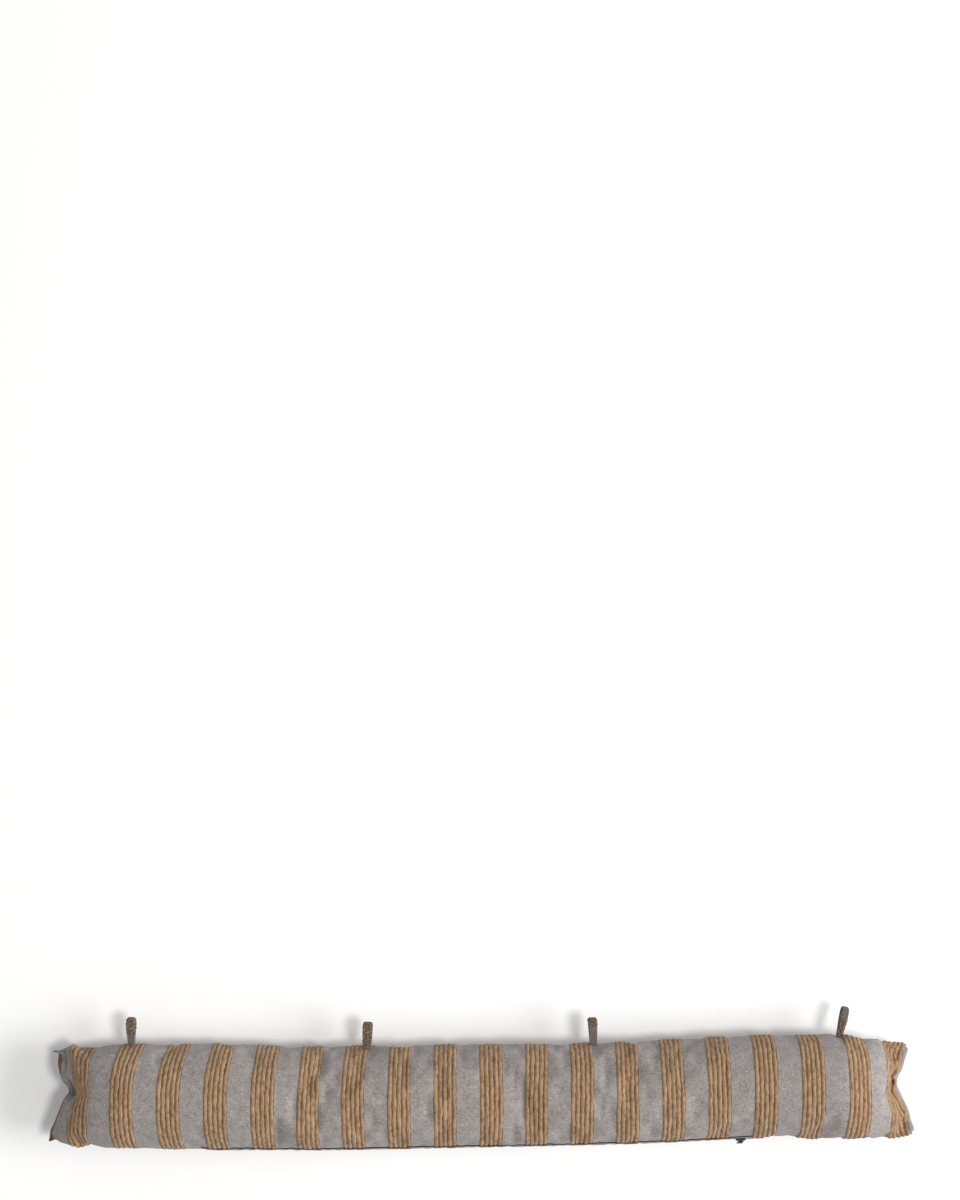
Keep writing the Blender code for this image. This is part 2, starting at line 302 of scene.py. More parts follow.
# %% End seams
# For each end: where the seam is pinched in, how far across that is, where its two corners are, how
# deep a crease the pinch leaves in the upper face, how firmly the end seam and the long seams beside it
# are held, and what share of the extra cloth lies there.
LEFT_SEAM = {
    "side": -1, "pinched": 0.418, "across": 0.14, "loop_corner": 0.4530, "zip_corner": 0.4510,
    "crease": 0.008, "hold": 0.0, "side_hold": 0.2, "growth": 1.0,
}
RIGHT_SEAM = {
    "side": 1, "pinched": 0.4345, "across": 0.15, "loop_corner": 0.4500, "zip_corner": 0.4570,
    "crease": 0.024, "hold": 1.0, "side_hold": 0.7, "growth": 0.15,
}
SEAM_POWER = 1.15
TINY = 1e-9


def seam_x(seam, across):
    """How far an end seam is from the tube's middle; across is 1 at the loops' side, -1 at the zip's."""
    from_pinch = across - seam["across"]
    corner = np.where(from_pinch >= 0, seam["loop_corner"], seam["zip_corner"])
    reach = np.abs(from_pinch) / (1 - seam["across"] * np.sign(from_pinch + TINY))
    return seam["side"] * (seam["pinched"] + (corner - seam["pinched"]) * reach**SEAM_POWER)


print("left seam, mm:", np.round(seam_x(LEFT_SEAM, np.array([-1.0, 0.0, 1.0])) * 1000, 1))

# %% Height and width of the wrapped cloth
# The rings get flatter towards the ends, where the cloth lies as two layers a small gap apart.
EAR_FLATNESS = 0.4
CREASE_WIDTH = 0.11
CREASE_RUN = 0.030
LAYER_GAP = 0.0008

turn = 2 * np.pi * np.where(row == ROUND_STEPS, 0.0, around)
across = np.cos(turn)
upper = np.sin(turn) >= 0
nearest_end = np.minimum(along, CLOTH_LENGTH - along)
crown_swell = from_end(nearest_end, CROWN_RUN)
swell = np.where(upper, crown_swell, from_end(nearest_end, BELLY_RUN))
roundness = np.abs(np.sin(turn)) ** (1 + EAR_FLATNESS * (1 - crown_swell))
crown_rise = (crown[column] - SIDE_HEIGHT) * roundness
belly_drop = np.maximum(-SIDE_HEIGHT, -BELLY_DEPTH * roundness)
rise = np.where(upper, crown_rise, belly_drop)
height = END_SEAM_HEIGHT + (SIDE_HEIGHT - END_SEAM_HEIGHT) * swell + rise * swell

for seam, gone in ((LEFT_SEAM, along), (RIGHT_SEAM, CLOTH_LENGTH - along)):
    crease = np.exp(-(((across - seam["across"]) / CREASE_WIDTH) ** 2))
    crease *= np.sin(np.pi * np.minimum(gone / CREASE_RUN, 1)) ** 2 * upper
    height -= seam["crease"] * crease
inside = (column > 0) & (column < LENGTH_STEPS)
height += LAYER_GAP * np.sign(np.round(np.sin(turn), 6)) * (1 - swell) * inside
width_y = middle_y[column] + half_width[column] * across
print("cloth height, mm:", np.round([height.min() * 1000, height.max() * 1000], 1))

# %% Walk each line of cloth from the middle to both ends
STEEPEST = 0.2

x_place = np.zeros(len(along))
for line in range(ROUND_STEPS + 1):
    points = np.where(row == line)[0]
    points = points[np.argsort(column[points])]
    climb = np.diff(height[points])
    forward = np.sqrt(np.maximum(CORD_PITCH**2 - climb**2, (STEEPEST * CORD_PITCH) ** 2))
    walked = np.concatenate([[0.0], np.cumsum(forward)])
    walked -= walked[LENGTH_STEPS // 2]
    line_across = across[points[0]]
    for seam, end, gone in ((LEFT_SEAM, 0, step_distance), (RIGHT_SEAM, -1, step_distance[::-1])):
        short = seam_x(seam, line_across) - walked[end]
        walked = walked + short * (1 - from_end(gone, CROWN_RUN))
    x_place[points] = walked
print("longest line, mm:", round(float(np.ptp(x_place)) * 1000, 1))

# %% Bow the stripes of the left half
# There the filling has drawn both long seams towards the middle, and the pull fades out along the tube.
LOOP_SIDE_DRAW = 0.0060
ZIP_SIDE_DRAW = 0.0028
DRAW_RISE = 0.10
DRAW_END = 0.50

fading = from_end(along, DRAW_RISE) * np.cos(np.pi / 2 * np.minimum(along / DRAW_END, 1)) ** 2
x_place += np.where(across > 0, LOOP_SIDE_DRAW, ZIP_SIDE_DRAW) * np.abs(across) ** 3 * fading
wrapped = np.column_stack([x_place, width_y, height])
write_points(cover, wrapped)
print("wrapped cloth, mm:", np.round(wrapped.min(0) * 1000), np.round(wrapped.max(0) * 1000))

# %% [markdown]
# ## Sewing
# The two long edges of the cloth now lie on each other, and so do the upper and the lower layer at both
# ends. Merging the points that coincide is the sewing. The texture map belongs to the corners of the
# faces and not to the points, so it keeps its cut edges along the seams.

# %% Sew the edges together
SEAM_TOUCH = 0.00004

alone(cover)
bpy.ops.object.mode_set(mode="EDIT")
bpy.ops.mesh.select_all(action="SELECT")
bpy.ops.mesh.remove_doubles(threshold=SEAM_TOUCH)
bpy.ops.mesh.normals_make_consistent(inside=False)
sewn = bmesh.from_edit_mesh(cover.data)
if sewn.calc_volume(signed=True) < 0:
    bpy.ops.mesh.flip_normals()
open_edges = sum(not edge.is_manifold for edge in sewn.edges)
litres = abs(sewn.calc_volume(signed=True)) * 1000
bpy.ops.object.mode_set(mode="OBJECT")
print("open edges", open_edges, "volume, litres", round(litres, 2))

# %% [markdown]
# ## Filling the cover
# A wrapped form is too neat for cloth. Real cloth is a little longer than the shape it is pulled over,
# most of all beside the end seams, where the flat seam has less room than the round tube behind it. The
# cloth simulation gives the cover that extra length and a soft push from the filling, while some places
# are held still: the underside on the floor, the four corners and the right end seam, and more loosely
# the long seams and the zip. No point may end far from where it began. The result is made a plain mesh.

# %% Where each point lies on the cloth


def read_cloth_place(piece):
    """Where each point lies on the flat cloth: metres along it, and its share of the way round."""
    rows = read_rows(piece.data.attributes["place_on_cloth"].data, "vector", 3)
    return rows[:, 0], rows[:, 1]


along, around = read_cloth_place(cover)
form = read_points(cover)
print("points of sewn cloth", len(form))

# %% What is held, and where the cloth grows
HOLD_SEAM = 0.2
HOLD_ZIP = 0.7
ZIP_ROW = 29
ZIP_FROM = 0.1645
ZIP_TO = 0.7270
UNDERSIDE_LENGTH = 0.38
UNDERSIDE_HEIGHT = 0.0006
END_GROWTH = 0.30
MIDDLE_GROWTH = 0.03
GROWTH_RUN = 0.05

row = np.round(around * ROUND_STEPS).astype(int)
end_distance = np.minimum(along, CLOTH_LENGTH - along)
left_half = along < CLOTH_LENGTH / 2

on_floor = (form[:, 2] < UNDERSIDE_HEIGHT) & (np.abs(form[:, 0]) < UNDERSIDE_LENGTH)
long_seam = (row % (ROUND_STEPS // 2)) == 0
left_seam = along < CORD_PITCH / 2
right_seam = along > CLOTH_LENGTH - CORD_PITCH / 2
beside_zip = (np.abs(row - ZIP_ROW) <= 1) & (along > ZIP_FROM) & (along < ZIP_TO)
near_end = np.exp(-((end_distance / GROWTH_RUN) ** 2))
side_hold = np.where(left_half, LEFT_SEAM["side_hold"], RIGHT_SEAM["side_hold"])
held = np.where(long_seam, HOLD_SEAM + (side_hold - HOLD_SEAM) * near_end, 0.0)
held[beside_zip] = HOLD_ZIP
held[left_seam] = LEFT_SEAM["hold"]
held[right_seam] = RIGHT_SEAM["hold"]
held[on_floor | (long_seam & (left_seam | right_seam))] = 1.0
settled = 1 - near_end * np.where(left_half, LEFT_SEAM["growth"], RIGHT_SEAM["growth"])


def weight_group(piece, name, weights):
    """A vertex group with one weight for each point."""
    group = piece.vertex_groups.new(name=name)
    for index, weight in enumerate(weights):
        group.add([index], float(weight), "REPLACE")


weight_group(cover, "held", held)
weight_group(cover, "settled", settled)
print("held points", int((held == 1).sum()), "of", len(held))

# %% Let the cloth settle
PUSH = 4.0
SETTLE_FRAMES = 20
START_SIZE = 0.97
FARTHEST = 0.020
SECTION_MIDDLE = (0.0, 0.046)
# The cloth's own feel: the steps in each frame, its mass, and how stiff it is against each kind of strain.
CLOTH_FEEL = {
    "quality": 5, "mass": 0.3, "tension_stiffness": 15, "compression_stiffness": 15,
    "shear_stiffness": 5, "bending_stiffness": 0.5,
}

start = form.copy()
start[:, 1:] = SECTION_MIDDLE + (form[:, 1:] - SECTION_MIDDLE) * START_SIZE
start[:, 2] = np.maximum(start[:, 2], 0.0)
write_points(cover, start)
filling = cover.modifiers.new("filling", "CLOTH")
for setting, value in CLOTH_FEEL.items():
    setattr(filling.settings, setting, value)
filling.settings.use_pressure = True
filling.settings.uniform_pressure_force = PUSH
filling.settings.effector_weights.gravity = 0.0
filling.settings.vertex_group_mass = "held"
filling.settings.vertex_group_shrink = "settled"
filling.settings.shrink_min = -END_GROWTH
filling.settings.shrink_max = -MIDDLE_GROWTH
filling.point_cache.frame_start = 1
filling.point_cache.frame_end = SETTLE_FRAMES
for frame_number in range(1, SETTLE_FRAMES + 1):
    bpy.context.scene.frame_set(frame_number)
apply_all(cover)
shift = read_points(cover) - form
moved = np.linalg.norm(shift, axis=1, keepdims=True)
kept = form + shift * np.minimum(1, FARTHEST / np.maximum(moved, TINY))
kept[:, 2] = np.maximum(kept[:, 2], 0.0)
write_points(cover, kept)
print("moved, mm: mean", round(moved.mean() * 1000, 2), "most", round(moved.max() * 1000, 2))

# %% Round the cloth off
# A stuffed corner is blunt, so the points near the four corners are smoothed before the cloth is rounded.
CORNER_RUN = 0.015
CORNER_ROWS = 4
CORNER_PASSES = 9
CORNER_SMOOTHING = 0.5

rows_from_seam = np.abs((row + CORNER_ROWS) % (ROUND_STEPS // 2) - CORNER_ROWS)
near_corner = (end_distance < CORNER_RUN) & (rows_from_seam <= CORNER_ROWS)
alone(cover)
bpy.ops.object.mode_set(mode="EDIT")
bpy.ops.mesh.select_mode(type="VERT")
bpy.ops.mesh.select_all(action="DESELECT")
soft = bmesh.from_edit_mesh(cover.data)
for vertex, near in zip(soft.verts, near_corner):
    vertex.select_set(bool(near))
bmesh.update_edit_mesh(cover.data)
bpy.ops.mesh.vertices_smooth(factor=CORNER_SMOOTHING, repeat=CORNER_PASSES)
bpy.ops.object.mode_set(mode="OBJECT")
rounding = cover.modifiers.new("rounding", "SUBSURF")
rounding.levels = 1
rounding.render_levels = 1
apply_all(cover)
bpy.ops.object.shade_smooth()
rounded = read_points(cover)
rounded[:, 2] = np.maximum(rounded[:, 2], 0.0)
write_points(cover, rounded)
belongs(cover, "cover_cloth", "cover")

# %% [markdown]
# ## Cloth finishes
# Wool and jute both look mottled: the yarns are spun from fibres of different shades, and each yarn throws
# a small shadow on the next. A helper builds the nodes for noises, sums and colour ramps, so that each
# finish reads as a short recipe.

# %% Helper for finishes
BLACK = (0.0, 0.0, 0.0)
WHITE = (1.0, 1.0, 1.0)
SHEEN_ROUGHNESS = 0.6


class Finish:
    """A material with its shader, and short ways to add nodes to it."""

    def __init__(self, name, roughness, sheen=0.0, specular=0.3, metallic=0.0):
        self.material = bpy.data.materials.new(name)
        self.material.use_nodes = True
        self.tree = self.material.node_tree
        self.shader = self.tree.nodes["Principled BSDF"]
        self.shader.inputs["Roughness"].default_value = roughness
        self.shader.inputs["Specular IOR Level"].default_value = specular
        self.shader.inputs["Metallic"].default_value = metallic
        self.shader.inputs["Sheen Weight"].default_value = sheen
        self.shader.inputs["Sheen Roughness"].default_value = SHEEN_ROUGHNESS

    def add(self, kind, **settings):
        node = self.tree.nodes.new(kind)
        for name, value in settings.items():
            setattr(node, name, value)
        return node

    def link(self, source, target):
        """Joins an output to an input, or sets the input to a plain value."""
        if isinstance(source, bpy.types.NodeSocket):
            self.tree.links.new(source, target)
        else:
            target.default_value = source

    def calc(self, operation, a, b=0.0):
        node = self.add("ShaderNodeMath", operation=operation)
        self.link(a, node.inputs[0])
        self.link(b, node.inputs[1])
        return node.outputs[0]

    def shared(self, *parts):
        """Adds up several values, each times its share."""
        total = None
        for value, share in parts:
            part = self.calc("MULTIPLY", value, share)
            total = part if total is None else self.calc("ADD", total, part)
        return total

    def uv(self, name):
        return self.add("ShaderNodeUVMap", uv_map=name).outputs[0]

    def place(self):
        return self.add("ShaderNodeTexCoord").outputs["Object"]

    def parts(self, vector):
        node = self.add("ShaderNodeSeparateXYZ")
        self.link(vector, node.inputs[0])
        return node.outputs

    def stretched(self, vector, scale):
        node = self.add("ShaderNodeMapping")
        self.link(vector, node.inputs["Vector"])
        node.inputs["Scale"].default_value = scale
        return node.outputs[0]

    def noise(self, vector, scale, detail=3.0, roughness=0.6):
        node = self.add("ShaderNodeTexNoise")
        self.link(vector, node.inputs["Vector"])
        node.inputs["Scale"].default_value = scale
        node.inputs["Detail"].default_value = detail
        node.inputs["Roughness"].default_value = roughness
        return node.outputs["Fac"]

    def streaks(self, vector, repeats, detail=3.0):
        """Noise with its own number of repeats to the metre in each direction."""
        return self.noise(self.stretched(vector, repeats), 1.0, detail)

    def ramp(self, factor, *stops):
        """A colour ramp from (place, colour) stops."""
        node = self.add("ShaderNodeValToRGB")
        self.link(factor, node.inputs[0])
        for _ in stops[2:]:
            node.color_ramp.elements.new(0.5)
        for element, (place, colour) in zip(node.color_ramp.elements, stops):
            element.position = place
            element.color = (*colour, 1.0)
        return node.outputs[0]

    def mix(self, factor, a, b, blend="MIX"):
        node = self.add("ShaderNodeMix", data_type="RGBA", blend_type=blend)
        self.link(factor, node.inputs[0])
        self.link(a, node.inputs[6])
        self.link(b, node.inputs[7])
        return node.outputs[2]

    def finish(self, colour, height=None, depth=0.001, strength=1.0):
        """Sets the colour, and a bump from a height between 0 and 1."""
        self.link(colour, self.shader.inputs["Base Color"])
        if height is not None:
            bump = self.add("ShaderNodeBump")
            bump.inputs["Strength"].default_value = strength
            bump.inputs["Distance"].default_value = depth
            self.link(height, bump.inputs["Height"])
            self.link(bump.outputs[0], self.shader.inputs["Normal"])
        return self.material


print("finish helper ready")

# %% [markdown]
# ## Grey wool and the ground under the jute, with painted shade
# The wool is a plain weave of about twenty yarns to the inch in a warm grey, flecked with lighter and
# darker fibres. The weave comes from two sets of waves, one for each direction of yarn, which take turns in
# lying on top. Under the jute stripes the same cloth is seen only in the gaps between the cords, where it
# is brown and lies in the cords' shade, so the finish changes there to brown darkened with painted shade.

# %% The weave
INCH = 0.0254
YARN_PITCH = 0.0013


def woven(finish, cloth, pitch):
    """Height of a plain weave: the two sets of yarns lie on top in turn."""
    u, v, _ = finish.parts(cloth)
    turns = math.pi / pitch
    wave_u = finish.calc("SINE", finish.calc("MULTIPLY", u, turns))
    wave_v = finish.calc("SINE", finish.calc("MULTIPLY", v, turns))
    over = finish.calc("MULTIPLY", wave_u, wave_v)
    return finish.calc("MULTIPLY_ADD", over, 0.5)


print("wool yarns", round(INCH / YARN_PITCH), "to the inch")

# %% Wool colours
WOOL_DARK = (0.140, 0.122, 0.112)
WOOL_GREY = (0.284, 0.258, 0.246)
WOOL_LIGHT = (0.430, 0.398, 0.384)
# Repeats to the metre, along and across the cloth, of the yarns of both directions and of small patches.
WOOL_LENGTHWISE = (230.0, 620.0, 1.0)
WOOL_CROSSWISE = (760.0, 210.0, 1.0)
WOOL_PATCHES = 120.0
FLECK_FROM = 0.60
FLECK_TO = 0.68
FLECK_SHOWN = 0.6
# Colour and repeats of the light flecks and of the dark ones.
FLECKS = (
    ((0.560, 0.530, 0.500), (330.0, 880.0, 1.0)),
    ((0.075, 0.062, 0.055), (880.0, 330.0, 1.0)),
)


def wool_colour(finish, cloth):
    """Grey wool with long flecks in both directions of the weave."""
    lengthwise = finish.streaks(cloth, WOOL_LENGTHWISE)
    crosswise = finish.streaks(cloth, WOOL_CROSSWISE)
    patches = finish.noise(cloth, WOOL_PATCHES, 4.0)
    mottle = finish.shared((lengthwise, 0.34), (crosswise, 0.34), (patches, 0.32))
    colour = finish.ramp(mottle, (0.30, WOOL_DARK), (0.5, WOOL_GREY), (0.72, WOOL_LIGHT))
    for fleck, repeats in FLECKS:
        specks = finish.streaks(cloth, repeats, 2.0)
        shown = finish.ramp(specks, (FLECK_FROM, BLACK), (FLECK_TO, WHITE))
        colour = finish.mix(finish.calc("MULTIPLY", shown, FLECK_SHOWN), colour, (*fleck, 1.0))
    return colour


print("wool with", len(FLECKS), "kinds of fleck")

# %% Striped cloth finish
# The stripes: one begins every ten cord widths and has five cords. The left end seam cuts through a
# stripe, and a little of it shows there.
STRIPE_STEPS = 10
STRIPE_CORDS = 5
FIRST_CORD = 6
SEAM_REMNANT = 0.0060
# The ground under the jute is brown, and its darker brown is painted shade in the gaps between the cords.
GROUND_PAINTED_SHADE = (0.100, 0.046, 0.020)
GROUND_BROWN = (0.240, 0.126, 0.058)
GROUND_FIBRES = (700.0, 160.0, 1.0)
FUZZ = 900.0


def make_striped_cloth():
    finish = Finish("striped_cloth", roughness=0.92, sheen=0.12, specular=0.12)
    cloth = finish.uv("cloth")
    u = finish.parts(cloth)[0]
    steps = finish.calc("SUBTRACT", finish.calc("DIVIDE", u, CORD_PITCH), FIRST_CORD - 0.5)
    into_stripe = finish.calc("FLOORED_MODULO", steps, STRIPE_STEPS)
    in_stripe = finish.calc("LESS_THAN", into_stripe, STRIPE_CORDS)
    in_stripe = finish.calc("MAXIMUM", in_stripe, finish.calc("LESS_THAN", u, SEAM_REMNANT))
    # Brown ground with painted shade for the gaps between the cords.
    ground_with_painted_shade = finish.ramp(finish.streaks(cloth, GROUND_FIBRES), (0.35, GROUND_PAINTED_SHADE), (0.65, GROUND_BROWN))
    colour = finish.mix(in_stripe, wool_colour(finish, cloth), ground_with_painted_shade)
    height = finish.shared((woven(finish, cloth, YARN_PITCH), 0.4), (finish.noise(cloth, FUZZ, 3.0), 0.6))
    return finish.finish(colour, height, depth=0.0005, strength=0.6)


striped_cloth = make_striped_cloth()
dress(cover, striped_cloth)
print("a stripe every", round(STRIPE_STEPS * CORD_PITCH * 1000, 1), "mm")

# %% [markdown]
# ## Jute cords
# Five thick cords lie side by side in each stripe and run all the way round the tube. They were woven in,
# so each one follows the cloth exactly. A copy of the cover is shrunk by the depth to which a cord is sunk
# in the cloth, the lines of points at the cords' places are drawn out of it, and each line becomes a tube.
# Jute is spun unevenly, so the thickness changes all along a cord, and it wanders a little to each side.
# The cloth is cut away for the zip, and the cords stop there.

# %% The surface that the cords follow
CORD_SUNK = 0.0010

cord_bed = copy_of(cover, "cord_bed")
sinking = cord_bed.modifiers.new("sinking", "DISPLACE")
sinking.strength = -CORD_SUNK
sinking.mid_level = 0.0
apply_all(cord_bed)
print("cord bed points", len(cord_bed.data.vertices))

# %% Draw lines and strips out of a mesh


def draw_out(source, kind, name, wanted):
    """Draws a copy of some edges or faces out of a mesh; wanted takes their points' places on the cloth."""
    alone(source)
    bpy.ops.object.mode_set(mode="EDIT")
    bpy.ops.mesh.select_mode(type=kind)
    bpy.ops.mesh.select_all(action="DESELECT")
    mesh = bmesh.from_edit_mesh(source.data)
    place = mesh.verts.layers.float_vector["place_on_cloth"]
    for part in mesh.edges if kind == "EDGE" else mesh.faces:
        part.select_set(wanted([vertex[place] for vertex in part.verts]))
    bmesh.update_edit_mesh(source.data)
    bpy.ops.mesh.duplicate()
    bpy.ops.mesh.separate(type="SELECTED")
    bpy.ops.object.mode_set(mode="OBJECT")
    drawn = [piece for piece in bpy.context.selected_objects if piece != source][0]
    drawn.name = name
    forget_tags(drawn)
    return drawn


print("drawing helper ready")

# %% Choose the edges of the cords
# The cloth is cut away this far past the zip's ends, and not quite one row of points to each side of it.
ZIP_TURN = 0.004
ZIP_HALF_ROWS = 0.9
ON_LINE = 0.1


def under_zip(place):
    """True where the cloth is cut away for the zip."""
    beside = abs(place[1] * ROUND_STEPS - ZIP_ROW) < ZIP_HALF_ROWS
    return beside and ZIP_FROM - ZIP_TURN < place[0] < ZIP_TO + ZIP_TURN


def along_cords(first, count):
    """Chooses the edges that lie on the cords first, first + 1 and so on, but not across the zip."""

    def wanted(places):
        steps = [place[0] / CORD_PITCH for place in places]
        nearest = round(steps[0])
        on_cord = all(abs(step - nearest) < ON_LINE for step in steps)
        return first <= nearest < first + count and on_cord and not any(map(under_zip, places))

    return wanted


print("cut for the zip, mm:", round((ZIP_TO - ZIP_FROM + 2 * ZIP_TURN) * 1000))

# %% Random ripples
# A ripple adds up some waves. For the thickness and for the sideways wander: the fewest and most turns
# that each wave makes round the tube, and its height.
random = np.random.default_rng(12)
THICKNESS_WAVES = ((3, 9, 0.05), (9, 20, 0.07), (20, 45, 0.08))
WANDER_WAVES = ((4, 9, 0.5), (9, 22, 0.5))


def ripple(count, waves):
    """A smooth closed random line of whole waves, each with its own phase."""
    waves = [(random.integers(fewest, most), height) for fewest, most, height in waves]
    place = np.linspace(0, 2 * np.pi, count, endpoint=False)
    total = np.zeros(count)
    for wave, height in waves:
        total += height * np.sin(wave * place + random.uniform(0, 2 * np.pi))
    return total


print("waves in a cord's thickness", len(THICKNESS_WAVES))

# %% Turn drawn lines into threads


def thread(line, radius):
    """Turns drawn edges into round threads that are still curves."""
    alone(line)
    bpy.ops.object.convert(target="CURVE")
    threads = bpy.context.object
    threads.data.bevel_depth = radius
    threads.data.bevel_resolution = 3
    threads.data.use_fill_caps = True
    return threads


def as_mesh(threads, map_name):
    """Turns threads into a mesh, and names the texture map that runs along and round them."""
    alone(threads)
    bpy.ops.object.convert(target="MESH")
    mesh_piece = bpy.context.object
    mesh_piece.data.uv_layers[0].name = map_name
    return mesh_piece


print("thread helper ready")

# %% Make uneven cords
CORD_RADIUS = 0.0024
CORD_ROUGHNESS = 0.035
WANDER = 0.00032
THIN_LAST_CORD = 0.88
FLATTENED = 0.6


def make_cords(lines, first):
    """Thickens each line to a cord of uneven size, and presses the cords a little into the cloth."""
    cords = thread(lines, CORD_RADIUS)
    bpy.ops.object.mode_set(mode="EDIT")
    bpy.ops.curve.select_all(action="SELECT")
    bpy.ops.curve.subdivide(number_cuts=1)
    bpy.ops.curve.smooth()
    bpy.ops.object.mode_set(mode="OBJECT")
    for spline in cords.data.splines:
        count = len(spline.points)
        mean_x = sum(point.co.x for point in spline.points) / count
        order = round((mean_x + CLOTH_LENGTH / 2) / CORD_PITCH) - first
        size = THIN_LAST_CORD if order >= STRIPE_CORDS - 1 else 1.0
        thickness = ripple(count, THICKNESS_WAVES) + random.normal(0.0, CORD_ROUGHNESS, count)
        sway = ripple(count, WANDER_WAVES) * WANDER
        for point, thick, side in zip(spline.points, thickness, sway):
            point.radius = size * (1.0 + thick)
            point.co.x += side
    cords = as_mesh(cords, "cord")
    points = read_points(cords)
    for number, point in enumerate(points):
        on_cloth, up, _, _ = cover_surface.find_nearest(Vector(point))
        above = (Vector(point) - on_cloth).dot(up)
        if 0 < above < CORD_RADIUS:
            points[number] -= np.array(up) * above * (1 - FLATTENED)
    write_points(cords, points)
    alone(cords)
    bpy.ops.object.shade_smooth()
    return cords


print("cords about", round(CORD_RADIUS * 2000, 1), "mm thick")

# %% Make the stripes and keep them off the floor
STRIPES = 19
FLOOR_CLEARANCE = 0.0002

cover_surface = BVHTree.FromObject(cover, bpy.context.evaluated_depsgraph_get())
stripes = []
for number in range(STRIPES):
    first = FIRST_CORD + STRIPE_STEPS * number
    lines = draw_out(cord_bed, "EDGE", f"jute_stripe_{number + 1:02d}", along_cords(first, STRIPE_CORDS))
    stripes.append(make_cords(lines, first))
bpy.data.objects.remove(cord_bed)
for stripe in stripes:
    cord_points = read_points(stripe)
    cord_points[:, 2] = np.maximum(cord_points[:, 2], FLOOR_CLEARANCE)
    write_points(stripe, cord_points)
    belongs(stripe, "jute_stripe")
print("stripes", len(stripes), "faces", sum(len(s.data.polygons) for s in stripes))

# %% [markdown]
# ## Jute finish
# Jute fibres are long and lie along the cord, some straw-coloured and some brown. The noise is stretched
# along the cord's own map, and the object's x place is mixed in so that no two cords are alike.

# %% Jute finish
JUTE_DARK = (0.130, 0.072, 0.036)
JUTE_BROWN = (0.245, 0.146, 0.076)
JUTE_TAN = (0.355, 0.230, 0.134)
JUTE_STRAW = (0.440, 0.308, 0.192)
# Repeats of the fibres along and round a cord and from cord to cord, of the tufts, and of each batch of yarn.
FIBRES = (60.0, 14.0, 160.0)
TUFTS = (300.0, 220.0, 220.0)
BATCHES = (210.0, 45.0, 45.0)


def make_jute():
    finish = Finish("jute", roughness=0.85, sheen=0.08, specular=0.15)
    length, around_cord, _ = finish.parts(finish.uv("cord"))
    x = finish.parts(finish.place())[0]
    fibre_place = finish.add("ShaderNodeCombineXYZ")
    for socket, (value, repeats) in enumerate(zip((length, around_cord, x), FIBRES)):
        finish.link(finish.calc("MULTIPLY", value, repeats), fibre_place.inputs[socket])
    fibres = finish.noise(fibre_place.outputs[0], 1.0, 4.0, 0.65)
    tufts = finish.streaks(finish.place(), TUFTS)
    batches = finish.streaks(finish.place(), BATCHES)
    shade = finish.shared((fibres, 0.45), (tufts, 0.30), (batches, 0.25))
    colour = finish.ramp(shade, (0.37, JUTE_DARK), (0.43, JUTE_BROWN), (0.52, JUTE_TAN), (0.63, JUTE_STRAW))
    return finish.finish(colour, shade, depth=0.0012, strength=0.9)


jute = make_jute()
for stripe in stripes:
    dress(stripe, jute)
print("jute on", len(stripes), "pieces")

# %% [markdown]
# ## Hanging loops
# Each loop is a narrow strip of the striped cloth, bent back on itself with both ends caught in the seam.
# It begins as a flat strip of grid, which is bent along a teardrop line, given the thickness of two layers
# and rounded off. Where the strip was cut through a jute stripe, its cords cross the loop as small ridges.

# %% Loop sizes
# Place along the tube, reach from the seam, width, opening, lean in degrees, and where its jute begins
# and ends along the strip, as shares of its length.
LOOPS = {
    "loop_1": (-0.3650, 0.0270, 0.0088, 0.0110, -1.0, (0.20, 0.75)),
    "loop_2": (-0.1194, 0.0260, 0.0098, 0.0115, 2.0, (0.06, 0.94)),
    "loop_3": (0.1168, 0.0270, 0.0094, 0.0120, -3.0, (0.30, 0.62)),
    "loop_4": (0.3732, 0.0295, 0.0074, 0.0120, 13.0, (-0.10, 0.34)),
}
STRIP_THICKNESS = 0.0030
STRIP_CORE = 0.86
STRIP_STEPS = 72
STRIP_WIDTH_STEPS = 6
# How deep the strip starts behind the seam, where its tip begins to round, and how narrow it gets there
# and at the seam.
STEM = -0.0040
TIP_ROUND = 0.0055
TIP_NARROW = 0.65
STEM_NARROW = 0.78
SIDE_POINTS = 12
BEND_POINTS = 24
print("loops", list(LOOPS))

# %% The line of a loop


def teardrop(reach, opening):
    """The middle line of a loop as points of (out from the seam, up)."""
    half_strip = STRIP_THICKNESS / 2
    half = opening / 2 + half_strip
    centre = reach - half - half_strip
    side = []
    for share in np.linspace(0.0, 1.0, SIDE_POINTS, endpoint=False):
        ease = share * share * (3 - 2 * share)
        side.append((STEM + (centre - STEM) * share, half_strip + (half - half_strip) * ease))
    angles = np.linspace(0, math.pi, BEND_POINTS)
    bend = [(centre + half * math.sin(a), half * math.cos(a)) for a in angles]
    line = np.array(side + bend + [(y, -z) for y, z in reversed(side)])
    length = np.concatenate([[0.0], np.cumsum(np.linalg.norm(np.diff(line, axis=0), axis=1))])
    even = np.linspace(0, length[-1], STRIP_STEPS + 1)
    even_line = np.column_stack([np.interp(even, length, line[:, axis]) for axis in (0, 1)])
    return even_line, length[-1]


print("longest loop, mm:", round(max(teardrop(loop[1], loop[3])[1] for loop in LOOPS.values()) * 1000, 1))

# %% Bend a flat strip to a loop


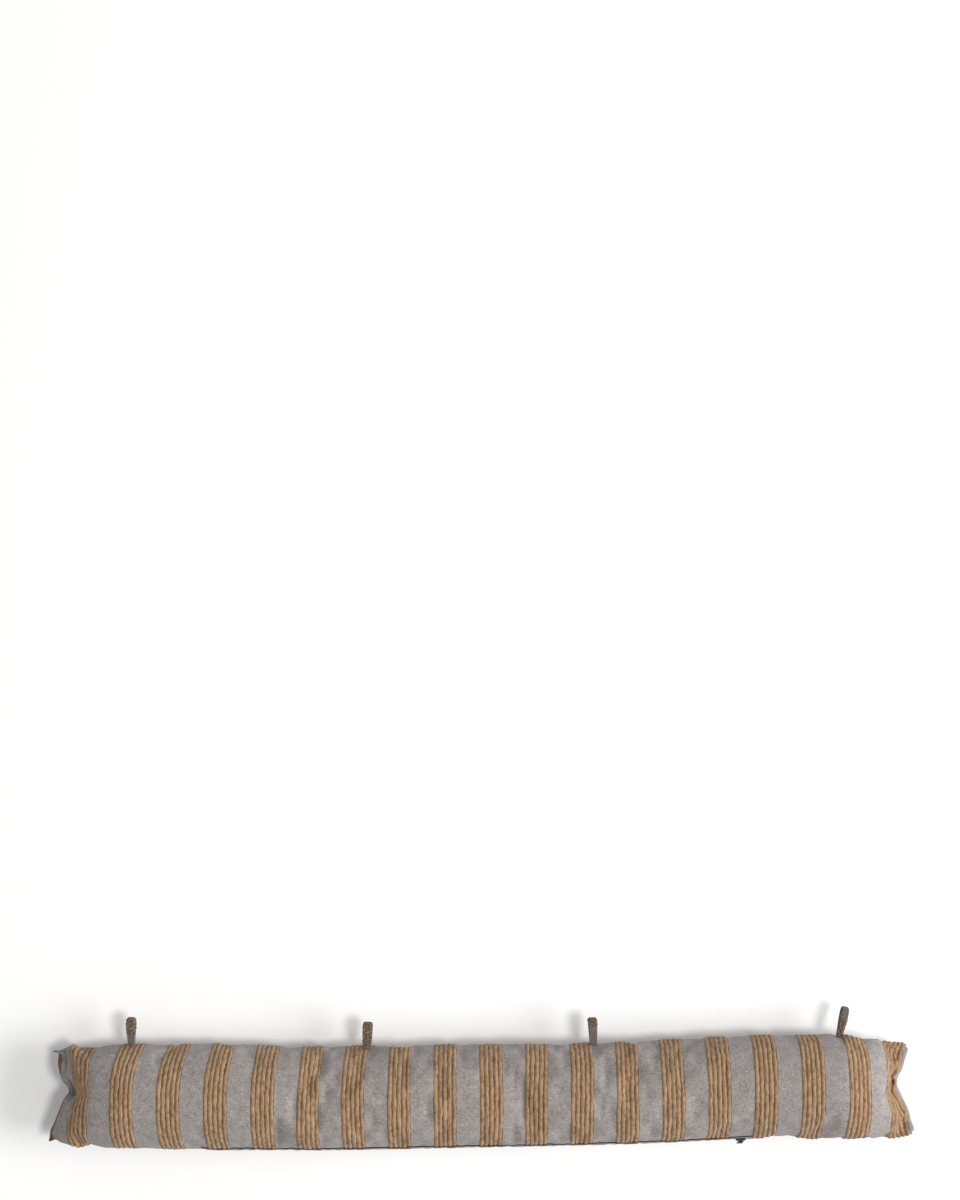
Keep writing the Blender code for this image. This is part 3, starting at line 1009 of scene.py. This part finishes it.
def make_loop(name, reach, width, opening):
    bpy.ops.object.select_all(action="DESELECT")
    bpy.ops.mesh.primitive_grid_add(x_subdivisions=STRIP_WIDTH_STEPS, y_subdivisions=STRIP_STEPS, size=1)
    loop = bpy.context.object
    loop.name = name + "_strip"
    loop.data.uv_layers[0].name = "cloth"
    strip = read_points(loop)
    line, strip_length = teardrop(reach, opening)
    share = strip[:, 1] + 0.5
    index = np.round(share * STRIP_STEPS).astype(int)
    to_tip = np.minimum(np.abs(share - 0.5) * strip_length / TIP_ROUND, 1)
    rounded_tip = np.sqrt(1 - TIP_NARROW * (1 - to_tip) ** 2)
    gathered_stem = STEM_NARROW + (1 - STEM_NARROW) * np.sin(np.pi * share)
    across_strip = strip[:, 0] * width * rounded_tip * gathered_stem
    write_points(loop, np.column_stack([across_strip, line[index, 0], line[index, 1]]))
    write_uv(loop, "cloth", read_uv(loop, "cloth") * (width, strip_length))
    mark = loop.data.attributes.new("share", "FLOAT", "POINT")
    mark.data.foreach_set("value", share)
    thicken = loop.modifiers.new("thicken", "SOLIDIFY")
    thicken.thickness = STRIP_THICKNESS * STRIP_CORE
    thicken.offset = 0.0
    soften = loop.modifiers.new("soften", "SUBSURF")
    soften.levels = 2
    soften.render_levels = 2
    apply_all(loop)
    return loop, strip_length


print("loop helper ready")

# %% Make the four loops
# Their jute begins and ends within a thirtieth of the strip, its cords stand out by half a millimetre,
# and each loop starts a little inside the seam.
JUTE_EDGE = 30
RIDGE_HEIGHT = 0.00055
RIDGE_POWER = 0.7
BEHIND_SEAM = 0.0006

loop_pieces = []
for name, (place, reach, width, opening, lean, (jute_from, jute_to)) in LOOPS.items():
    loop, strip_length = make_loop(name, reach, width, opening)
    share = read_rows(loop.data.attributes["share"].data, "value", 1)[:, 0]
    in_jute = np.clip((share - jute_from) * JUTE_EDGE, 0, 1) * np.clip((jute_to - share) * JUTE_EDGE, 0, 1)
    ridges = np.abs(np.sin(np.pi * share * strip_length / CORD_PITCH)) ** RIDGE_POWER
    write_points(loop, read_points(loop) + read_normals(loop) * (in_jute * ridges * RIDGE_HEIGHT)[:, None])
    low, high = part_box(name)
    base = Vector((place, low.y - BEHIND_SEAM, (low.z + high.z) / 2))
    loop.data.transform(Matrix.Translation(base) @ Matrix.Rotation(math.radians(-lean), 4, "Z"))
    brown = loop.data.attributes.new("jute_share", "FLOAT", "POINT")
    brown.data.foreach_set("value", in_jute)
    alone(loop)
    bpy.ops.object.shade_smooth()
    belongs(loop, "loop_cloth", name)
    loop_pieces.append(loop)
    print(name, "strip, mm:", round(strip_length * 1000, 1))

# %% Loop finish
LOOP_DARK = (0.028, 0.022, 0.019)
LOOP_BROWN = (0.115, 0.078, 0.052)
LOOP_TAN = (0.300, 0.210, 0.138)
# Share by which the wool of the loops is darkened towards LOOP_DARK.
LOOP_DARKENING = 0.6
LOOP_FLECKS = (420.0, 900.0, 1.0)
LOOP_YARN_PITCH = 0.0011
FRAYED = 2.2


def make_loop_cloth():
    finish = Finish("loop_cloth", roughness=0.9, sheen=0.1, specular=0.12)
    cloth = finish.uv("cloth")
    wool = wool_colour(finish, cloth)
    flecks = finish.streaks(cloth, LOOP_FLECKS)
    brown = finish.ramp(flecks, (0.38, LOOP_DARK), (0.5, LOOP_BROWN), (0.62, LOOP_TAN))
    share = finish.add("ShaderNodeAttribute", attribute_name="jute_share").outputs["Fac"]
    frayed = finish.calc("MULTIPLY", finish.calc("SUBTRACT", flecks, 0.5), FRAYED)
    share = finish.ramp(finish.calc("ADD", share, frayed), (0.3, BLACK), (0.7, WHITE))
    # The wool of the loops is darkened towards LOOP_DARK, then the jute's browns are mixed in.
    colour = finish.mix(share, finish.mix(LOOP_DARKENING, wool, (*LOOP_DARK, 1.0)), brown)
    height = finish.shared((woven(finish, cloth, LOOP_YARN_PITCH), 0.5), (flecks, 0.5))
    return finish.finish(colour, height, depth=0.0006, strength=0.8)


loop_cloth = make_loop_cloth()
for loop in loop_pieces:
    dress(loop, loop_cloth)
print("loop cloth on", len(loop_pieces), "loops")

# %% [markdown]
# ## The zip
# The zip is sewn into the side seam opposite the loops. Its black tape is a strip of the cover's own
# surface, lifted off it and given a thickness. Along both edges the cover is folded under, which leaves two
# rolled lips, and the upper one covers a little of the teeth. The teeth are one pair, modelled once and
# repeated along the tape. The slider and its tab are the engineering ones with softer edges.

# %% Tape
TAPE_THICKNESS = 0.0009

tape = draw_out(cover, "FACE", "zip_tape", lambda places: under_zip(sum(places, Vector()) / len(places)))
body = tape.modifiers.new("body", "SOLIDIFY")
body.thickness = TAPE_THICKNESS
body.offset = 1.0
apply_all(tape)
belongs(tape, "zip_teeth", "zip_chain")

# %% Lips
# For each rolled edge: its line on the cloth and its radius.
LIPS = {"upper_zip_lip": (28.5, 0.0017), "lower_zip_lip": (30.0, 0.0014)}
END_SLACK = 0.00001


def along_row(row_number, start, end):
    """Chooses the edges of one lengthwise line of the cloth."""

    def wanted(places):
        on_line = all(abs(place[1] * ROUND_STEPS - row_number) < ON_LINE for place in places)
        return on_line and all(start - END_SLACK <= place[0] <= end + END_SLACK for place in places)

    return wanted


def make_lip(name, row_number, radius):
    """The rolled edge of the cloth beside the zip, a thin tube with the cover's own stripes."""
    line = draw_out(cover, "EDGE", name, along_row(row_number, ZIP_FROM - ZIP_TURN, ZIP_TO + ZIP_TURN))
    lip = as_mesh(thread(line, radius), "cloth")
    corners = np.array([corner.vertex_index for corner in lip.data.loops])
    lip_u = read_points(lip)[corners, 0] + CLOTH_LENGTH / 2
    write_uv(lip, "cloth", np.column_stack([lip_u, read_uv(lip, "cloth")[:, 1] * 2 * math.pi * radius]))
    alone(lip)
    bpy.ops.object.shade_smooth()
    dress(lip, striped_cloth)
    belongs(lip, "cover_cloth")


for lip_name, (lip_row, lip_radius) in LIPS.items():
    make_lip(lip_name, lip_row, lip_radius)

# %% One pair of teeth
# The two teeth of a pair come from the two sides of the zip: one sits high, and one low and half a pitch on.
TOOTH = (0.0011, 0.0013, 0.0030)
TOOTH_PITCH = 0.0019
TOOTH_LEAN = math.radians(18)
TOOTH_OFFSET = 0.0009
TOOTH_EDGE = 0.0003

bpy.ops.object.select_all(action="DESELECT")
bpy.ops.mesh.primitive_cube_add(size=1)
teeth = bpy.context.object
teeth.name = "zip_teeth"
teeth.data.transform(Matrix.Translation((0, 0, TOOTH_OFFSET)) @ Matrix.Diagonal((*TOOTH, 1)))
bpy.ops.object.duplicate()
other = bpy.context.object
other.data.transform(Matrix.Translation((TOOTH_PITCH / 2, 0, -2 * TOOTH_OFFSET)))
teeth.select_set(True)
bpy.context.view_layer.objects.active = teeth
bpy.ops.object.join()
teeth.data.transform(Matrix.Rotation(TOOTH_LEAN, 4, "X"))
edge = teeth.modifiers.new("edge", "BEVEL")
edge.width = TOOTH_EDGE
edge.segments = 1
print("pair of teeth, faces:", len(teeth.data.polygons))

# %% Repeat the teeth along the zip
zip_line = draw_out(cover, "EDGE", "zip_line", along_row(ZIP_ROW, ZIP_FROM, ZIP_TO))
alone(zip_line)
bpy.ops.object.convert(target="CURVE")
zip_line = bpy.context.object
zip_line.data.twist_mode = "Z_UP"
repeat = teeth.modifiers.new("repeat", "ARRAY")
repeat.fit_type = "FIT_CURVE"
repeat.curve = zip_line
repeat.use_relative_offset = False
repeat.use_constant_offset = True
repeat.constant_offset_displace = (TOOTH_PITCH, 0, 0)
follow = teeth.modifiers.new("follow", "CURVE")
follow.object = zip_line
follow.deform_axis = "POS_X"
apply_all(teeth)
bpy.data.objects.remove(zip_line)
teeth_points = read_points(teeth) * 1000
print("teeth box, mm", np.round(teeth_points.min(0), 1), np.round(teeth_points.max(0), 1))
belongs(teeth, "zip_teeth")

# %% Where the slider sits on the finished cloth
SLIDER_AT = 0.7200
SLIDER_PROUD = 0.0034

along, around = read_cloth_place(cover)
nearest = int(np.argmin(np.abs(along - SLIDER_AT) + np.abs(around - ZIP_ROW / ROUND_STEPS) * GIRTH))
slider_low, slider_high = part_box("zip_slider")
slider_home = Vector(read_points(cover)[nearest] + read_normals(cover)[nearest] * SLIDER_PROUD)
slider_shift = slider_home - (slider_low + slider_high) / 2
slider_shift.x = 0.0
print("slider moved, mm:", [round(v * 1000, 1) for v in slider_shift])

# %% Slider and pull
SLIDER_EDGE = 0.0002
PULL_EDGE = 0.00015
LOOSE_POINTS = 0.00001
NEARLY_FLAT = math.radians(2)


def softened_copy(node_name, piece_name, edge_width):
    """A copy of an engineering node with rounded edges, moved on to the finished cloth."""
    piece = copy_of(nodes[node_name], piece_name)
    bpy.ops.object.mode_set(mode="EDIT")
    bpy.ops.mesh.select_all(action="SELECT")
    bpy.ops.mesh.remove_doubles(threshold=LOOSE_POINTS)
    bpy.ops.mesh.dissolve_limited(angle_limit=NEARLY_FLAT)
    bpy.ops.transform.translate(value=slider_shift)
    bpy.ops.object.mode_set(mode="OBJECT")
    edge = piece.modifiers.new("edge", "BEVEL")
    edge.width = edge_width
    edge.segments = 2
    edge.limit_method = "ANGLE"
    apply_all(piece)
    belongs(piece, "zip_metal", node_name)
    return piece


slider = softened_copy("zip_slider", "zip_slider_body", SLIDER_EDGE)
pull = softened_copy("zip_pull", "zip_pull_tab", PULL_EDGE)

# %% Zip finishes
ZIP_BLACK = (0.006, 0.006, 0.007)
ZIP_GREY = (0.022, 0.022, 0.024)
ZIP_GRAIN = 1400.0


def make_zip_black(name, roughness, specular):
    finish = Finish(name, roughness=roughness, specular=specular)
    grain = finish.noise(finish.place(), ZIP_GRAIN, 2.0)
    colour = finish.ramp(grain, (0.35, ZIP_BLACK), (0.7, ZIP_GREY))
    return finish.finish(colour, grain, depth=0.0003, strength=0.5)


dress(tape, make_zip_black("zip_tape_cloth", 0.85, 0.2))
dress(teeth, make_zip_black("zip_teeth_nylon", 0.4, 0.5))
slider_paint = make_zip_black("zip_slider_paint", 0.5, 0.3)
dress(slider, slider_paint)
dress(pull, slider_paint)
print("zip finished")
